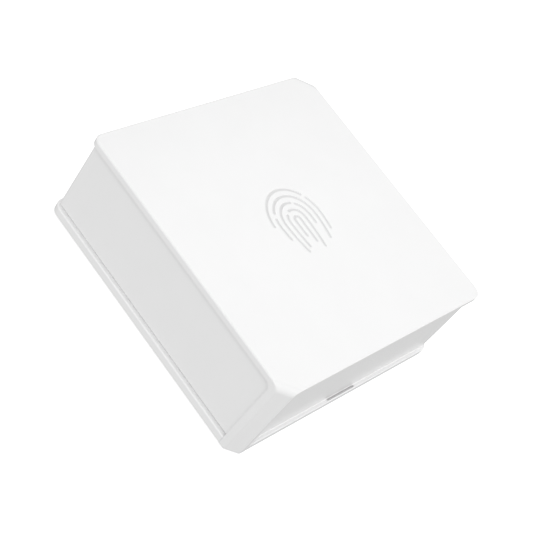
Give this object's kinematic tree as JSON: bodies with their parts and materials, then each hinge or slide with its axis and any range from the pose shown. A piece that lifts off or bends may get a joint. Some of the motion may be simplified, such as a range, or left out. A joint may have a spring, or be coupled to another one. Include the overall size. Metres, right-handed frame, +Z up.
{
  "type": "smart home hub",
  "caption": "Square white desk-top hub with a sunk waist, chamfered corner columns, a grooved touch sign on top, a status light slot, sockets at the back and a press-in reset button.",
  "frame": {"origin": "centre of the feet's underside, under the middle of the square plan", "axes": "+Z up out of the top plate; -Y is the side with the status light slot; +Y is the side with the sockets; the chamfered corner columns stand at (-X, -Y) and (+X, +Y)"},
  "size_m": [0.1, 0.1, 0.0369],
  "materials": {
    "white_housing": "fine moulded satin, opaque white",
    "foot_rubber": "matte grey rubber",
    "screw_steel": "plain zinc-plated steel",
    "tinned_steel": "tinned sheet steel",
    "board_green": "green solder mask over glass fibre board",
    "black_resin": "black moulded resin",
    "bare_aluminium": "bare aluminium",
    "antenna_brass": "stamped brass",
    "amber_film": "amber film",
    "soft_pad": "soft grey pad",
    "grey_ferrite": "grey ferrite",
    "milky_light_guide": "milky translucent plastic, unlit",
    "ivory_resin": "ivory moulded resin"
  },
  "bodies": {
    "housing": {"base_shell": "white_housing", "board_screw_1": "screw_steel", "board_screw_2": "screw_steel", "board_screw_3": "screw_steel", "board_screw_4": "screw_steel", "case_screw_1": "screw_steel", "case_screw_2": "screw_steel", "case_screw_3": "screw_steel", "case_screw_4": "screw_steel", "ethernet_core": "black_resin", "ethernet_shell": "tinned_steel", "flex_socket": "ivory_resin", "foot_pad_1": "foot_rubber", "foot_pad_2": "foot_rubber", "foot_pad_3": "foot_rubber", "foot_pad_4": "foot_rubber", "heat_spreader": "bare_aluminium", "main_board": "board_green", "memory_chip_1": "black_resin", "memory_chip_2": "black_resin", "mesh_antenna": "antenna_brass", "port_band": "white_housing", "power_capacitor_1": "bare_aluminium", "power_capacitor_2": "bare_aluminium", "power_coil": "grey_ferrite", "power_inlet_shell": "tinned_steel", "power_inlet_tongue": "black_resin", "processor": "black_resin", "processor_shield": "tinned_steel", "radio_chip": "black_resin", "radio_shield": "tinned_steel", "reset_switch": "black_resin", "status_led": "ivory_resin", "status_light_guide": "milky_light_guide", "thermal_pad": "soft_pad", "top_shell": "white_housing", "touch_board": "board_green", "touch_film": "amber_film", "touch_flex": "amber_film", "touch_foam": "soft_pad", "touch_screw_1": "screw_steel", "touch_screw_2": "screw_steel", "wifi_antenna_1": "antenna_brass", "wifi_antenna_2": "antenna_brass"},
    "reset_button": {"reset_cap": "white_housing", "reset_plunger": "black_resin"}
  },
  "joints": [
    {"name": "reset_press", "type": "slide", "parent": "housing", "child": "reset_button", "axis": [0, -1, 0], "range_m": [0, 0.0006], "stiffness_N_per_m": 2500}
  ]
}
